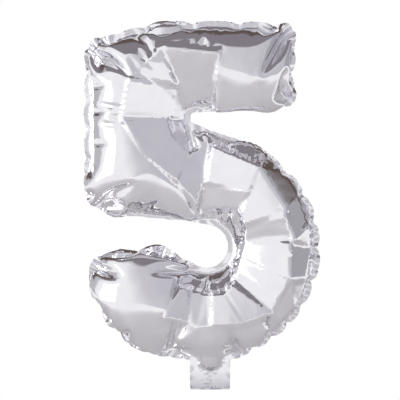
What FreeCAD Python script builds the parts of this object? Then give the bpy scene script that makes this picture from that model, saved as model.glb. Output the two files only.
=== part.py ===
"""Foil number balloon, figure five, inflated: two film shells, their weld, the valve and the tail.

The seam plane is y = 0, the front faces -Y and +Z is up. The origin is the middle of the throat,
where the tail leaves the body and folds. All sizes are millimetres.
"""

import FreeCAD
import Part
import math
import os

V = FreeCAD.Vector

# --- films and welds; a real film is 0.05 thick, and is drawn thicker here as a clean solid ---
FILM = 0.4  # one foil film
WELD = 0.4  # sealant layer between the two foil films, and the two valve films together
SEAM_WIDTH = 7.5  # welded rim outside the inflated body

# --- strokes of the figure, measured at the seam line where the films part ---
TUBE_RADIUS = 39.5  # every stroke is a tube of this radius
BOWL_RADIUS = 70.5  # middle of the bowl's stroke
BOWL_SHIFT = -3.0  # bowl's centre from the middle of the throat, along X
NECK_LENGTH = 9.0  # flat neck between the throat and the bowl's rim
STEM_RIGHT = -28.0  # seam at the bottom of the upper notch
STEM_WIDTH = 94.0
BAR_LENGTH = 204.0  # from the stem's left seam to the bar's right end
NOTCH_HEIGHT = 23.7  # between the bar and the shoulder, at the stem
CREST_FROM_LEFT = 74.0  # highest point of the top seam
CREST_HEADING = -0.9  # slope of the top seam right of the crest, degrees
CORNER_HEADING = 14.2  # slope of the top seam left of the crest, degrees
SHOULDER_TOP_ANGLE = 72.0  # where the shoulder's upper seam touches the bowl, degrees
SHOULDER_LOW_ANGLE = 84.4  # where the shoulder's lower seam touches the bowl
TERMINAL_LOW_ANGLE = 260.0  # where the terminal's lower seam leaves the bowl
TERMINAL_TOP_ANGLE = 235.0  # where the terminal's upper seam leaves the bowl
TERMINAL_SPREAD = 9.5  # how far the terminal's seam lies outside the bowl's circle
TERMINAL_SIDES = ((202.9, 97.4), (209.1, 115.0), (227.2, 143.0))  # angle on that circle, heading
TERMINAL_TOP_SIDE = (187.7, 7.4)  # the same for the terminal's upper seam
CORNER_CUT = 7.0  # small slanted sides at the bar's corners, along each seam
STEM_FOOT_CUT = 17.0  # the same at the stem's lower left corner

# --- throat, tail and valve ---
FOLD_GAP = 0.1  # from the fold axis down to the tail's top edge
FOLD_CLEARANCE = 0.1  # left between the folded tail and the body's lower edge
TAIL_WIDTH = 41.0
TAIL_LENGTH = 19.0
NECK_FILLET = 6.0
CHANNEL_WIDTH = 26.0  # between the tail's side welds
MOUTH_RISE = 5.0  # how far each tail film stands out at the open mouth
FLAT_BELOW_FOLD = 4.0  # the tail stays flat this far below its top edge
VALVE_WELD = 2.0  # width of each side weld of the valve strip
INLET_CLEARANCE = 0.05  # between the inlet's films and the tail's films where both are bowed
VALVE_CLEARANCE = 7.0  # from the valve's inner end to the bowl's inner seam

# --- sizes that follow ---
REACH = 600.0  # longer than the figure in any direction
BODY_DEPTH = FILM + WELD / 2  # half thickness of the flat rim
THROAT_Z = BODY_DEPTH + FOLD_CLEARANCE  # lower edge of the body's rim, above the fold axis
BOWL_OUTER = BOWL_RADIUS + TUBE_RADIUS
BOWL_INNER = BOWL_RADIUS - TUBE_RADIUS
BOWL_CENTRE = (BOWL_SHIFT, NECK_LENGTH + SEAM_WIDTH + BOWL_OUTER)
STEM_LEFT = STEM_RIGHT - STEM_WIDTH
BAR_RIGHT = STEM_LEFT + BAR_LENGTH
VALVE_TOP = NECK_LENGTH + SEAM_WIDTH + 2 * TUBE_RADIUS - VALVE_CLEARANCE


def heading(degrees):
    """Unit direction in the seam plane, 0 along +X and 90 along +Z."""
    a = math.radians(degrees)
    return V(math.cos(a), 0, math.sin(a))


def flat(x, z, y=0.0):
    """A point given by its place in the seam plane."""
    return V(x, y, z)


def on_bowl(radius, angle):
    """A point at this radius and angle from the bowl's centre."""
    return flat(*BOWL_CENTRE) + heading(angle) * radius


def side(at, degrees, closed=True):
    """A straight side of a stroke. The stroke lies on its right; an open side runs into another stroke."""
    return at, heading(degrees), closed


def chamfer(corner, before, after, size):
    """A short slanted side between two sides that meet in a corner."""
    start, end = corner - heading(before) * size, corner + heading(after) * size
    along = end - start
    return side(start, math.degrees(math.atan2(along.z, along.x)))


def bar_bottom():
    """Height of the bar's lower seam, above the shoulder's upper seam at the stem."""
    touch = on_bowl(BOWL_OUTER, SHOULDER_TOP_ANGLE)
    rise = (touch.x - STEM_RIGHT) / math.tan(math.radians(SHOULDER_TOP_ANGLE))
    return touch.z + rise + NOTCH_HEIGHT


def half_vault(at, along, closed, inset):
    """All that lies inside one side: its film rises from the side on a quarter circle."""
    inward = V(along.z, 0, -along.x)
    radius = TUBE_RADIUS - inset
    start = at - along * REACH + inward * (inset if closed else 0)
    across = [inward * (radius if closed else 0), inward * REACH]
    up = V(0, radius, 0)
    near, far = start + across[0], start + across[1]
    corners = [near + up, far + up, far - up, near - up]
    sides = [Part.makeLine(a, b) for a, b in zip(corners, corners[1:])]
    if closed:
        sides.append(Part.Arc(corners[3], start, corners[0]).toShape())
    else:
        sides.append(Part.makeLine(corners[3], corners[0]))
    return Part.Face(Part.Wire(sides)).extrude(along * 2 * REACH)


def vault(sides, inset):
    """A straight stroke as the space inside all its sides."""
    stroke = half_vault(*sides[0], inset)
    for one in sides[1:]:
        stroke = stroke.common(half_vault(*one, inset))
    return stroke


def bowl(inset):
    """The bent tube of the bowl, from the shoulder clockwise to the terminal."""
    start = on_bowl(BOWL_RADIUS, SHOULDER_LOW_ANGLE)
    section = Part.makeCircle(TUBE_RADIUS - inset, start, V(0, 1, 0).cross(heading(SHOULDER_LOW_ANGLE)))
    sweep = SHOULDER_LOW_ANGLE + 360.0 - TERMINAL_TOP_ANGLE
    return Part.Face(Part.Wire(section)).revolve(flat(*BOWL_CENTRE), V(0, 1, 0), sweep)


def along_to(start, degrees, x):
    """The point on a slanted line where it reaches x."""
    return start + heading(degrees) * ((x - start.x) / math.cos(math.radians(degrees)))


def strokes():
    """The straight strokes of the figure as lists of sides, clockwise from the left."""
    low = bar_bottom()
    crest_at = flat(STEM_LEFT + CREST_FROM_LEFT, low + 2 * TUBE_RADIUS)
    foot_at = on_bowl(BOWL_INNER, SHOULDER_LOW_ANGLE)
    foot_heading = SHOULDER_LOW_ANGLE + 90
    left = side(flat(STEM_LEFT, 0), 90)
    corner = side(crest_at, CORNER_HEADING)
    crest = side(crest_at, CREST_HEADING)
    shoulder_low = side(foot_at, foot_heading)
    cut_left = chamfer(along_to(crest_at, CORNER_HEADING, STEM_LEFT), 90, CORNER_HEADING, CORNER_CUT)
    cut_top = chamfer(along_to(crest_at, CREST_HEADING, BAR_RIGHT), CREST_HEADING, -90, CORNER_CUT)
    cut_low = chamfer(flat(BAR_RIGHT, low), -90, 180, CORNER_CUT)
    cut_foot = chamfer(along_to(foot_at, foot_heading, STEM_LEFT), foot_heading, 90, STEM_FOOT_CUT)
    bar_end = side(flat(BAR_RIGHT, 0), -90)
    bar = [left, cut_left, corner, crest, cut_top, bar_end, cut_low, side(flat(0, low), 180)]
    stem = [left, cut_left, corner, crest, side(flat(STEM_RIGHT, 0), -90), shoulder_low, cut_foot]
    shoulder = [
        side(flat((STEM_LEFT + STEM_RIGHT) / 2, 0), 90, closed=False),
        side(on_bowl(BOWL_OUTER, SHOULDER_TOP_ANGLE), SHOULDER_TOP_ANGLE - 90),
        side(flat(*BOWL_CENTRE), SHOULDER_TOP_ANGLE + 180, closed=False),
        shoulder_low,
    ]
    spread = BOWL_OUTER + TERMINAL_SPREAD
    terminal = [side(on_bowl(spread, angle), course) for angle, course in TERMINAL_SIDES]
    terminal += [
        side(on_bowl(spread, TERMINAL_TOP_SIDE[0]), TERMINAL_TOP_SIDE[1]),
        side(on_bowl(BOWL_INNER, TERMINAL_TOP_ANGLE), TERMINAL_TOP_ANGLE + 90),
        side(flat(*BOWL_CENTRE), TERMINAL_LOW_ANGLE, closed=False),
        side(on_bowl(BOWL_OUTER, TERMINAL_LOW_ANGLE), TERMINAL_LOW_ANGLE - 90),
    ]
    return [bar, stem, shoulder, terminal]


def inflated(inset):
    """The whole inflated figure, drawn in from its outer surface by inset."""
    solids = [vault(stroke, inset) for stroke in strokes()] + [bowl(inset)]
    return solids[0].fuse(solids[1:]).removeSplitter()


def footprint(body):
    """The flat face that an inflated figure covers in the seam plane."""
    return Part.Face(Part.Wire(body.slice(V(0, 1, 0), 0.0)[0].Edges))


def slab(face, low, high):
    """A flat layer over a face in the seam plane, between two depths."""
    layer = face.copy()
    layer.translate(V(0, low, 0))
    return layer.extrude(V(0, high - low, 0))


def box(x_low, x_high, y_low, y_high, z_low, z_high):
    """A plain block from its lowest and highest corners."""
    return Part.makeBox(x_high - x_low, y_high - y_low, z_high - z_low, V(x_low, y_low, z_low))


def rectangle(x_low, x_high, z_low, z_high):
    """A rectangular face in the seam plane."""
    corners = [flat(x_low, z_low), flat(x_high, z_low), flat(x_high, z_high), flat(x_low, z_high)]
    return Part.Face(Part.makePolygon(corners + corners[:1]))


def neck_plate(low, high):
    """The flat neck between the bowl's rim and the throat, with a fillet at each side."""
    rim = BOWL_OUTER + SEAM_WIDTH
    half = TAIL_WIDTH / 2
    top = BOWL_CENTRE[1] - BOWL_OUTER
    plate = slab(rectangle(-half, half, THROAT_Z, top), low, high)
    for hand in (-1, 1):
        middle_x = hand * (half + NECK_FILLET)
        across = middle_x - BOWL_CENTRE[0]
        middle_z = BOWL_CENTRE[1] - math.sqrt((rim + NECK_FILLET) ** 2 - across ** 2)
        touch_x = BOWL_CENTRE[0] + across * rim / (rim + NECK_FILLET)
        web = slab(rectangle(*sorted((hand * half, touch_x)), middle_z, top), low, high)
        fillet = Part.makeCylinder(NECK_FILLET, high - low, flat(middle_x, middle_z, low), V(0, 1, 0))
        plate = plate.fuse(web.cut(fillet))
    return plate


def outline_plate(seam, low, high):
    """All that the films cover in the seam plane: the figure, its welded rim and the neck."""
    rim = Part.Face(seam.OuterWire.makeOffset2D(SEAM_WIDTH))
    return slab(rim, low, high).fuse(neck_plate(low, high)).removeSplitter()


def film_front(outer, inner, seam):
    """The front foil film of the body: its inflated shell and its flat rim."""
    ahead = box(-REACH, REACH, -REACH, 0, -REACH, REACH)
    shell = outer.cut(inner).common(ahead)
    shell.translate(V(0, -WELD / 2, 0))
    inside = slab(footprint(inner), -BODY_DEPTH, -WELD / 2)
    rim = outline_plate(seam, -BODY_DEPTH, -WELD / 2).cut(inside)
    return shell.fuse(rim).removeSplitter()


def behind_film(depth):
    """All that lies behind a tail film of this depth, flat at the throat and bowed open at the mouth."""
    least_rise = 0.02  # keeps the throat's section an arc, so that both ends match
    half, edge, back = CHANNEL_WIDTH / 2, TAIL_WIDTH / 2, FILM
    wires = []
    heights = (-FOLD_GAP, -FOLD_GAP - FLAT_BELOW_FOLD, -TAIL_LENGTH)
    for rise, z in zip((least_rise, least_rise, MOUTH_RISE), heights):
        corners = [V(half, -depth, z), V(edge, -depth, z), V(edge, back, z)]
        corners += [V(-edge, back, z), V(-edge, -depth, z), V(-half, -depth, z)]
        bow = Part.Arc(corners[-1], V(0, -depth - rise, z), corners[0]).toShape()
        wires.append(Part.Wire([bow] + [Part.makeLine(a, b) for a, b in zip(corners, corners[1:])]))
    return Part.makeLoft(wires, True, True)


def tail_film(near, far, width):
    """A front film of the tail between two depths, cut to this width."""
    film = behind_film(far).cut(behind_film(near))
    return film.common(box(-width / 2, width / 2, -REACH, 0, -REACH, 0))


def mirrored(shape):
    """The same piece on the back of the seam plane."""
    return shape.mirror(V(0, 0, 0), V(0, 1, 0))


def both_sides(x_low, x_high, half_depth, z_low, z_high):
    """Two equal strips, left and right of the middle."""
    left = box(-x_high, -x_low, -half_depth, half_depth, z_low, z_high)
    right = box(x_low, x_high, -half_depth, half_depth, z_low, z_high)
    return Part.makeCompound([left, right])


def envelope_pieces():
    """The body's films, their weld and the valve strip inside."""
    outer, inner = inflated(0.0), inflated(FILM)
    seam = footprint(outer)
    front = film_front(outer, inner, seam)
    half_channel = CHANNEL_WIDTH / 2
    valve_gap = box(-half_channel, half_channel, -WELD, WELD, 0, BOWL_CENTRE[1] - BOWL_RADIUS)
    weld = outline_plate(seam, -WELD / 2, WELD / 2).cut(slab(seam, -WELD / 2, WELD / 2)).cut(valve_gap)
    half_film = half_channel - VALVE_WELD
    valve_front = box(-half_film, half_film, -WELD / 2, 0, THROAT_Z, VALVE_TOP)
    return {
        "front_film": front,
        "back_film": mirrored(front),
        "perimeter_weld": weld,
        "valve_front_film": valve_front,
        "valve_back_film": mirrored(valve_front),
        "valve_side_welds": both_sides(half_film, half_channel, WELD / 2, THROAT_Z, VALVE_TOP),
    }


def tail_pieces():
    """The tail's films, their side welds and the valve's inlet films, all below the fold."""
    half_channel = CHANNEL_WIDTH / 2
    tail_front = tail_film(WELD / 2, BODY_DEPTH, TAIL_WIDTH)
    inlet_front = tail_film(0.0, WELD / 2 - INLET_CLEARANCE, CHANNEL_WIDTH)
    return {
        "tail_front_film": tail_front,
        "tail_back_film": mirrored(tail_front),
        "tail_side_welds": both_sides(half_channel, TAIL_WIDTH / 2, WELD / 2, -TAIL_LENGTH, -FOLD_GAP),
        "inlet_front_film": inlet_front,
        "inlet_back_film": mirrored(inlet_front),
    }


def main():
    """Builds every piece and writes one STEP file for each."""
    os.makedirs("parts", exist_ok=True)
    for name, shape in {**envelope_pieces(), **tail_pieces()}.items():
        shape.exportStep(os.path.join("parts", name + ".step"))
        bounds = shape.BoundBox
        print(f"{name}: {len(shape.Solids)} solids, valid {shape.isValid()}, {shape.Volume:.0f} mm3,",
              f"x {bounds.XMin:.1f} {bounds.XMax:.1f}, y {bounds.YMin:.1f} {bounds.YMax:.1f},",
              f"z {bounds.ZMin:.1f} {bounds.ZMax:.1f}")


main()
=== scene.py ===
"""Looks of an air-filled foil balloon in the shape of the figure five.

The foil is inflated for real: a flat cut is triangulated, both films are pressurised against their
weld, and the slack that the weld takes up shows as creases and a puckered rim. The plates that the film
buckles into round the tight bends, and the throat with its flat tail, are laid on after that.
Lengths in the design classes are millimetres; Blender's are metres.
"""

import logging
import math
from dataclasses import dataclass, field
from enum import Enum
from typing import Any, Sequence

import bpy
import numpy as np
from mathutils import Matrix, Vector
from mathutils.geometry import delaunay_2d_cdt


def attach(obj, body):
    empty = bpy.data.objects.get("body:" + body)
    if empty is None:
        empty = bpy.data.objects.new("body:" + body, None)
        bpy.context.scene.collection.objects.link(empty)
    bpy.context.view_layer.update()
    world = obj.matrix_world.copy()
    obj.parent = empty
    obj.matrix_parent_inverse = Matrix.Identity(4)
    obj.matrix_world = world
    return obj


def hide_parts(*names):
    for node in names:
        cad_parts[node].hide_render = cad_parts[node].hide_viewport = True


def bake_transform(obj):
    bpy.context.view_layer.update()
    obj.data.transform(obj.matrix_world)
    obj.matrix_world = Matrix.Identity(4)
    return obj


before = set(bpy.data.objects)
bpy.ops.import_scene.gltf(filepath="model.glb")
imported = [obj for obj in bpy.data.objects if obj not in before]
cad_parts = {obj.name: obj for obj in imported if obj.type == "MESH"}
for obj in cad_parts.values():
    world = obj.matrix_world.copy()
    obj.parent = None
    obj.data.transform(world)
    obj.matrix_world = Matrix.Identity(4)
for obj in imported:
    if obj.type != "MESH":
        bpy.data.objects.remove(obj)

MM = 0.001
# Keeps a division away from zero.
TINY = 1e-12
# Millimetres between the points of a fillet.
FILLET_STEP = 1.5
# Millimetres between the points of the seam when the rim is set off from it.
FINE_STEP = 0.8
# A rim point this much nearer to the seam than the rim's width lies in a folded-over stretch.
FOLDED_OVER = 0.15
# Radius of an inflated stroke, in millimetres.
TUBE = 39.5
# The pillow that the films start from is flat this near to the middle of a stroke.
CREST = 0.5
# Depth of that pillow, as a share of the inflated depth.
PILLOW = 0.35
# How far each film starts off the middle.
PARTED = 0.15
# No pleat pulls at the seam below this height.
NECK_TOP = 20.0
# The two lips of the tail's mouth part this far inside its side welds.
LIP_CLEAR = 0.1
# How near a point is to a line, in millimetres, to count as on it.
ON_LINE = 0.01
# The same for a point that was put on the line before the foil was triangulated.
PUT_ON_LINE = 0.001
log = logging.getLogger("balloon")


class Body(Enum):
    """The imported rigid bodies."""

    ENVELOPE = "envelope"
    TAIL = "tail"


# ---------------------------------------------------------------- outline of the figure


@dataclass(frozen=True)
class Corner:
    """A corner of the seam line.

    Args:
        x: its place across the figure.
        z: its height.
        radius: its fillet, or 0 for a sharp corner.
    """

    x: float
    z: float
    radius: float = 0.0


@dataclass(frozen=True)
class Figure:
    """The figure five as its seam line, clockwise as read, in millimetres.

    Args:
        bowl_centre: centre of the bowl's outer seam.
        bowl_outer: radius of the bowl's outer seam.
        bowl_inner: radius of the seam round the hollow.
        hollow_centre: centre of the hollow.
        rim: width of the welded rim.
        neck_side: the neck's left weld line.
        fold: height of the line at which the tail folds.
        mouth: height of the tail's open end.
        arc_step: degrees between the points of an arc.
        arc_least: the fewest points on an arc.
        below_mouth: how far the seam line runs on past the mouth.
    """

    bowl_centre: tuple[float, float] = (-3.0, 126.5)
    bowl_outer: float = 110.0
    bowl_inner: float = 30.0
    hollow_centre: tuple[float, float] = (-4.0, 128.5)
    rim: float = 7.5
    neck_side: float = -13.0
    fold: float = 0.4
    mouth: float = -19.0
    arc_step: float = 3.0
    arc_least: int = 4
    below_mouth: float = 3.0

    def arc(self, centre: tuple[float, float], radius: float, start: float, end: float) -> list[Corner]:
        """Closely spaced corners along an arc.

        Args:
            centre: the arc's centre.
            radius: its radius.
            start: where it starts, in degrees from +X towards +Z.
            end: where it ends.

        Returns:
            The corners in order.
        """
        count = max(self.arc_least, int(abs(end - start) / self.arc_step))
        angles = np.radians(np.linspace(start, end, count))
        return [Corner(centre[0] + radius * math.cos(a), centre[1] + radius * math.sin(a)) for a in angles]

    def corners(self) -> list[Corner]:
        """The seam line's corners, from the upper notch clockwise."""
        return [
            Corner(-27.0, 273.5, 11.0),
            Corner(-28.5, 250.5, 10.0),
            *self.arc(self.bowl_centre, self.bowl_outer, 70.0, -76.0),
            Corner(13.5, 17.0, 9.0),
            Corner(-self.neck_side, self.mouth - self.below_mouth),
            Corner(self.neck_side, self.mouth - self.below_mouth),
            Corner(-13.5, 17.0, 9.0),
            *self.arc(self.bowl_centre, self.bowl_outer, -96.5, -98.0),
            Corner(-70.0, 25.5, 40.0),
            Corner(-101.0, 51.0, 40.0),
            Corner(-115.5, 84.0, 40.0),
            Corner(-117.0, 112.0, 10.0),
            Corner(-50.0, 121.5, 14.0),
            *self.arc(self.hollow_centre, self.bowl_inner, -128.0, 84.4),
            Corner(-122.0, 169.5, 22.0),
            Corner(-123.0, 333.5, 14.0),
            Corner(-48.0, 353.2, 40.0),
            Corner(80.5, 351.5, 9.0),
            Corner(82.0, 274.0, 13.0),
        ]


def fillet(corners: Sequence[Corner]) -> np.ndarray:
    """The closed polyline through the corners, with each rounded to its radius.

    Args:
        corners: the corners in order.

    Returns:
        Points as an array of x and z.
    """
    points = []
    for i, corner in enumerate(corners):
        at = np.array([corner.x, corner.z])
        if corner.radius == 0:
            points.append(at)
            continue
        before, after = corners[i - 1], corners[(i + 1) % len(corners)]
        u = np.array([before.x, before.z]) - at
        v = np.array([after.x, after.z]) - at
        room = 0.49 * min(np.linalg.norm(u), np.linalg.norm(v))
        u, v = u / np.linalg.norm(u), v / np.linalg.norm(v)
        half = math.acos(float(np.clip(u @ v, -1, 1))) / 2
        back = min(corner.radius / math.tan(half), room)
        radius = back * math.tan(half)
        centre = at + (u + v) / np.linalg.norm(u + v) * (radius / math.sin(half))
        start, end = at + u * back - centre, at + v * back - centre
        turn = math.atan2(start[0] * end[1] - start[1] * end[0], float(start @ end))
        for share in np.linspace(0, 1, max(3, int(abs(turn) * radius / FILLET_STEP))):
            c, s = math.cos(turn * share), math.sin(turn * share)
            points.append(centre + np.array([c * start[0] - s * start[1], s * start[0] + c * start[1]]))
    return np.array(points)


def resample(points: np.ndarray, spacing: float) -> np.ndarray:
    """Evenly spaced points along a closed polyline.

    Args:
        points: the polyline's points.
        spacing: the distance wanted between the new ones.

    Returns:
        The new points.
    """
    closed = np.vstack([points, points[:1]])
    run = np.concatenate([[0], np.cumsum(np.linalg.norm(np.diff(closed, axis=0), axis=1))])
    at = np.linspace(0, run[-1], max(8, round(run[-1] / spacing)) + 1)[:-1]
    return np.stack([np.interp(at, run, closed[:, k]) for k in (0, 1)], axis=1)


def outward(loop: np.ndarray) -> np.ndarray:
    """Unit normals that point away from the inside of a clockwise loop.

    Args:
        loop: the loop's points.

    Returns:
        One normal for each point.
    """
    along = np.roll(loop, -1, axis=0) - np.roll(loop, 1, axis=0)
    along /= np.linalg.norm(along, axis=1)[:, None]
    return np.stack([-along[:, 1], along[:, 0]], axis=1)


def inside(points: np.ndarray, loop: np.ndarray) -> np.ndarray:
    """Which points lie inside a closed loop.

    Args:
        points: the points to test.
        loop: the loop's points.

    Returns:
        True for each point inside.
    """
    result = np.zeros(len(points), bool)
    for a, b in zip(loop, np.roll(loop, -1, axis=0)):
        crosses = (a[1] > points[:, 1]) != (b[1] > points[:, 1])
        if crosses.any():
            x = a[0] + (points[:, 1] - a[1]) * (b[0] - a[0]) / (b[1] - a[1] + TINY)
            result ^= crosses & (points[:, 0] < x)
    return result


def distance_to(points: np.ndarray, loop: np.ndarray) -> np.ndarray:
    """Distance from each point to the nearest stretch of a closed polyline."""
    return gap_to(points, loop, np.roll(loop, -1, axis=0))


def gap_to(points: np.ndarray, starts: np.ndarray, ends: np.ndarray) -> np.ndarray:
    """Distance from each point to the nearest of some straight lines.

    Args:
        points: the points.
        starts: one end of each line.
        ends: the other end of each line.

    Returns:
        A distance for each point.
    """
    along = ends - starts
    square = np.maximum((along**2).sum(1), TINY)
    best = np.full(len(points), np.inf)
    for start, step, size in zip(starts, along, square):
        d = points - start
        share = np.clip(d @ step / size, 0, 1)
        best = np.minimum(best, ((d - share[:, None] * step) ** 2).sum(1))
    return np.sqrt(best)


def smooth(low: float, high: float, x: np.ndarray) -> np.ndarray:
    """Rises smoothly from 0 at low to 1 at high."""
    t = np.clip((x - low) / (high - low), 0, 1)
    return t * t * (3 - 2 * t)


# ---------------------------------------------------------------- the flat cut and its mesh


@dataclass(frozen=True)
class Slack:
    """How far the flat cut's seam lies outside the inflated seam, in millimetres.

    A straight tube's seams draw together as it fills. Round the outside of a bend they draw in
    further, and round the inside hardly at all. The neck only rides up with the seam above it.

    Args:
        straight: slack of a straight stroke.
        swing: how much more or less there is round a bend.
        turning: the bend, in radians per millimetre, that counts as tight.
        corner: slack at a sharp outer corner.
        corner_bends: the bends between which a corner's slack takes over.
        neck_half: half the width over which the neck rides up.
        neck_top: height up to which it does.
        neck_ride: how far it rides up.
        neck_narrows: how far each side of it draws in.
        bend_reach: how far along the seam a bend is measured.
    """

    straight: float = 20.0
    swing: float = 17.0
    turning: float = 0.007
    corner: float = 12.0
    corner_bends: tuple[float, float] = (0.02, 0.05)
    neck_half: float = 30.0
    neck_top: float = 26.0
    neck_ride: float = 37.0
    neck_narrows: float = 0.7
    bend_reach: float = 12.0

    def pushes(self, loop: np.ndarray) -> np.ndarray:
        """The way from each point of a seam to its place on the flat cut.

        Args:
            loop: the seam's points, clockwise.

        Returns:
            One step for each point.
        """
        normal = outward(loop)
        step = np.linalg.norm(np.roll(loop, -1, axis=0) - loop, axis=1).mean()
        reach = max(1, round(self.bend_reach / step))
        ahead, behind = np.roll(normal, -reach, axis=0), np.roll(normal, reach, axis=0)
        cross = behind[:, 0] * ahead[:, 1] - behind[:, 1] * ahead[:, 0]
        bend = -np.arcsin(np.clip(cross, -1, 1)) / (2 * reach * step)
        amount = self.straight + self.swing * np.tanh(bend / self.turning)
        amount += (self.corner - amount) * smooth(*self.corner_bends, bend)
        push = normal * amount[:, None]
        neck = (np.abs(loop[:, 0]) < self.neck_half) & (loop[:, 1] < self.neck_top)
        ride = np.full(len(loop), -self.neck_ride)
        down = np.stack([self.neck_narrows * np.sign(loop[:, 0]), ride], axis=1)
        push[neck] = down[neck]
        for _ in range(reach):
            push = (np.roll(push, 1, axis=0) + push + np.roll(push, -1, axis=0)) / 3
        return push


# Corners as x and z.
Outline = tuple[tuple[float, float], ...]


@dataclass(frozen=True)
class Plates:
    """Flat plates that the film buckles into round the two tight inner bends, in millimetres.

    Args:
        outlines: the corners of each plate, as x and z.
        groove: depth of the creases between them.
        crown: share of the film's own swell that a plate keeps.
        reach: how far round the plates the film is drawn along.
        least: the fewest vertices that fix a plate's plane.
    """

    outlines: tuple[Outline, ...] = (
        ((-48.0, 331.0), (-33.0, 291.0), (-24.5, 272.5), (-1.0, 281.0), (8.0, 325.0)),
        ((-48.0, 331.0), (-80.0, 299.5), (-33.0, 291.0)),
        ((-80.0, 299.5), (-88.5, 258.0), (-41.0, 258.5), (-33.0, 291.0)),
        ((-33.0, 291.0), (-41.0, 258.5), (-27.0, 256.0), (-24.5, 272.5)),
        ((-88.5, 258.0), (-65.0, 221.0), (-37.0, 240.0), (-41.0, 258.5)),
        ((-41.0, 258.5), (-37.0, 240.0), (-19.5, 225.0), (-27.0, 256.0)),
        ((-65.0, 221.0), (-33.0, 194.5), (-19.5, 225.0), (-37.0, 240.0)),
        ((-33.0, 194.5), (-12.0, 168.0), (-7.0, 192.0), (0.0, 231.5), (-19.5, 225.0)),
        ((0.0, 231.5), (51.5, 209.0), (41.0, 187.0), (-7.0, 192.0)),
        ((-7.0, 192.0), (41.0, 187.0), (31.0, 167.0), (-12.0, 168.0)),
        ((51.5, 209.0), (77.0, 164.0), (36.0, 149.0), (31.0, 167.0), (41.0, 187.0)),
        ((77.0, 164.0), (82.5, 134.5), (35.0, 132.0), (36.0, 149.0)),
        ((82.5, 134.5), (80.0, 93.5), (31.0, 117.0), (35.0, 132.0)),
        ((80.0, 93.5), (62.0, 62.5), (24.0, 92.5), (31.0, 117.0)),
        ((62.0, 62.5), (33.5, 52.0), (15.5, 82.0), (24.0, 92.5)),
        ((33.5, 52.0), (0.0, 50.0), (0.0, 79.5), (15.5, 82.0)),
        ((0.0, 50.0), (-23.0, 52.0), (-20.5, 85.0), (0.0, 79.5)),
        ((-23.0, 52.0), (-46.5, 57.5), (-30.0, 87.5), (-20.5, 85.0)),
        ((51.5, 209.0), (76.0, 205.0), (90.0, 180.0), (77.0, 164.0)),
        ((77.0, 164.0), (90.0, 180.0), (99.0, 153.0), (82.5, 134.5)),
        ((82.5, 134.5), (99.0, 153.0), (101.5, 127.0)),
        ((82.5, 134.5), (101.5, 127.0), (97.0, 94.0), (80.0, 93.5)),
        ((80.0, 93.5), (97.0, 94.0), (87.0, 71.0)),
        ((80.0, 93.5), (87.0, 71.0), (74.0, 55.0), (62.0, 62.5)),
        ((62.0, 62.5), (74.0, 55.0), (59.0, 41.0)),
    )
    groove: float = 0.5
    crown: float = 0.12
    reach: float = 9.0
    least: int = 6

    def lines(self) -> tuple[np.ndarray, np.ndarray]:
        """The creases, each once.

        Returns:
            Their starts and their ends.
        """
        sides = {tuple(sorted(side)) for ring in self.outlines for side in zip(ring, ring[1:] + ring[:1])}
        ordered = sorted(sides)
        return np.array([a for a, _ in ordered]), np.array([b for _, b in ordered])

    def laid(self, plan: np.ndarray, at: np.ndarray) -> np.ndarray:
        """One film with its plates flattened.

        Args:
            plan: plan positions of the film's vertices.
            at: their places after inflation.

        Returns:
            The new places.
        """
        total, count = np.zeros(len(at)), np.zeros(len(at))
        for ring in self.outlines:
            loop = np.array(ring)
            within = inside(at[:, [0, 2]], loop)
            own = inside(plan, loop) | (distance_to(plan, loop) < ON_LINE)
            if within.sum() < self.least:
                continue
            spread = np.stack([np.ones(len(at)), at[:, 0], at[:, 2]], axis=1)
            plane = np.linalg.lstsq(spread[within], at[within, 1], rcond=None)[0]
            flat = plane[0] + plane[1] * plan[own, 0] + plane[2] * plan[own, 1]
            total[own] += flat + self.crown * (at[own, 1] - flat)
            count[own] += 1
        on = count > 0
        starts, ends = self.lines()
        gap = gap_to(plan, starts, ends)
        made = np.stack([plan[:, 0], at[:, 1], plan[:, 1]], axis=1)
        made[on, 1] = total[on] / count[on]
        crease = (count > 1) & (gap < ON_LINE)
        made[crease, 1] -= np.sign(made[crease, 1]) * self.groove
        share = np.where(on, 1.0, 1 - smooth(0.0, self.reach, gap))
        return at + share[:, None] * (made - at)


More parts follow.
